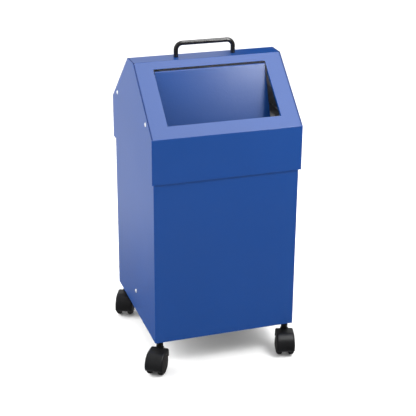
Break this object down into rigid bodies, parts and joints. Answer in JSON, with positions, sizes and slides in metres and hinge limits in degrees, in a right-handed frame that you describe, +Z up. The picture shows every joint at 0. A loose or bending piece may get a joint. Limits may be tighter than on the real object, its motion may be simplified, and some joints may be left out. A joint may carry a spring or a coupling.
{
  "type": "waste bin",
  "caption": "Square sheet-steel waste bin on swivelling twin-wheel casters, with a lift-off hood, a sloping push flap and a bow handle on the ridge.",
  "frame": {"origin": "on the floor, at the centre of the square body", "axes": "+Z up, -Y out of the front with the flap, +X to the right when the front is looked at"},
  "size_m": [0.38, 0.397, 0.699],
  "materials": {
    "blue_powder_coat": "gloss powder coat with a fine orange peel",
    "galvanised_steel": "zinc-plated sheet, dull",
    "rivet_aluminium": "bright",
    "bright_steel": "drawn wire and rod",
    "black_lacquer": "black satin coating",
    "black_plastic": "moulded nylon, satin",
    "black_tread": "moulded nylon, matt",
    "rubber": "matt"
  },
  "bodies": {
    "base": {"body_shell": "blue_powder_coat", "body_back_panel": "blue_powder_coat", "floor_pan": "galvanised_steel", "body_rivets": "rivet_aluminium", "caster_washers": "galvanised_steel", "caster_nuts": "galvanised_steel", "caster_stem_front_left": "black_lacquer", "caster_stem_front_right": "black_lacquer", "caster_stem_back_left": "black_lacquer", "caster_stem_back_right": "black_lacquer"},
    "hood": {"hood_shell": "blue_powder_coat", "hood_side_left": "blue_powder_coat", "hood_side_right": "blue_powder_coat", "rest_angle_left": "galvanised_steel", "rest_angle_right": "galvanised_steel", "hood_rivets": "rivet_aluminium", "handle": "black_lacquer", "handle_washers": "galvanised_steel", "handle_screws": "bright_steel", "hinge_rod": "bright_steel", "hinge_bracket_left": "galvanised_steel", "hinge_bracket_right": "galvanised_steel", "flap_spring_left": "bright_steel", "flap_spring_right": "bright_steel", "rod_clips": "bright_steel", "flap_buffers": "rubber"},
    "flap": {"flap": "blue_powder_coat"},
    "caster_front_left": {"caster_cover_front_left": "black_plastic", "caster_axle_front_left": "bright_steel"},
    "wheel_front_left_left": {"caster_wheel_front_left_left": "black_tread"},
    "wheel_front_left_right": {"caster_wheel_front_left_right": "black_tread"},
    "caster_front_right": {"caster_cover_front_right": "black_plastic", "caster_axle_front_right": "bright_steel"},
    "wheel_front_right_left": {"caster_wheel_front_right_left": "black_tread"},
    "wheel_front_right_right": {"caster_wheel_front_right_right": "black_tread"},
    "caster_back_left": {"caster_cover_back_left": "black_plastic", "caster_axle_back_left": "bright_steel"},
    "wheel_back_left_left": {"caster_wheel_back_left_left": "black_tread"},
    "wheel_back_left_right": {"caster_wheel_back_left_right": "black_tread"},
    "caster_back_right": {"caster_cover_back_right": "black_plastic", "caster_axle_back_right": "bright_steel"},
    "wheel_back_right_left": {"caster_wheel_back_right_left": "black_tread"},
    "wheel_back_right_right": {"caster_wheel_back_right_right": "black_tread"}
  },
  "joints": [
    {"name": "hood_lift", "type": "slide", "parent": "base", "child": "hood", "axis": [0, 0, 1], "range_m": [0, 0.12]},
    {"name": "flap_swing", "type": "hinge", "parent": "hood", "child": "flap", "pos_m": [0, -0.03898, 0.64353], "axis": [1, 0, 0], "range_deg": [-26.9, 67.5], "stiffness_Nm_per_rad": 0.1786, "springref_deg": -26.81, "deforming": ["flap_spring_left", "flap_spring_right"]},
    {"name": "swivel_front_left", "type": "hinge", "parent": "base", "child": "caster_front_left", "pos_m": [-0.147, -0.147, 0.04], "axis": [0, 0, 1], "continuous": true},
    {"name": "roll_front_left_left", "type": "hinge", "parent": "caster_front_left", "child": "wheel_front_left_left", "pos_m": [-0.1593, -0.16524, 0.025], "axis": [0.829, -0.5592, 0], "continuous": true},
    {"name": "roll_front_left_right", "type": "hinge", "parent": "caster_front_left", "child": "wheel_front_left_right", "pos_m": [-0.1593, -0.16524, 0.025], "axis": [0.829, -0.5592, 0], "continuous": true},
    {"name": "swivel_front_right", "type": "hinge", "parent": "base", "child": "caster_front_right", "pos_m": [0.147, -0.147, 0.04], "axis": [0, 0, 1], "continuous": true},
    {"name": "roll_front_right_left", "type": "hinge", "parent": "caster_front_right", "child": "wheel_front_right_left", "pos_m": [0.14131, -0.16825, 0.025], "axis": [0.9659, -0.2588, 0], "continuous": true},
    {"name": "roll_front_right_right", "type": "hinge", "parent": "caster_front_right", "child": "wheel_front_right_right", "pos_m": [0.14131, -0.16825, 0.025], "axis": [0.9659, -0.2588, 0], "continuous": true},
    {"name": "swivel_back_left", "type": "hinge", "parent": "base", "child": "caster_back_left", "pos_m": [-0.147, 0.147, 0.04], "axis": [0, 0, 1], "continuous": true},
    {"name": "roll_back_left_left", "type": "hinge", "parent": "caster_back_left", "child": "wheel_back_left_left", "pos_m": [-0.15595, 0.1269, 0.025], "axis": [0.9135, -0.4067, 0], "continuous": true},
    {"name": "roll_back_left_right", "type": "hinge", "parent": "caster_back_left", "child": "wheel_back_left_right", "pos_m": [-0.15595, 0.1269, 0.025], "axis": [0.9135, -0.4067, 0], "continuous": true},
    {"name": "swivel_back_right", "type": "hinge", "parent": "base", "child": "caster_back_right", "pos_m": [0.147, 0.147, 0.04], "axis": [0, 0, 1], "continuous": true},
    {"name": "roll_back_right_left", "type": "hinge", "parent": "caster_back_right", "child": "wheel_back_right_left", "pos_m": [0.1593, 0.16524, 0.025], "axis": [-0.829, 0.5592, 0], "continuous": true},
    {"name": "roll_back_right_right", "type": "hinge", "parent": "caster_back_right", "child": "wheel_back_right_right", "pos_m": [0.1593, 0.16524, 0.025], "axis": [-0.829, 0.5592, 0], "continuous": true}
  ]
}
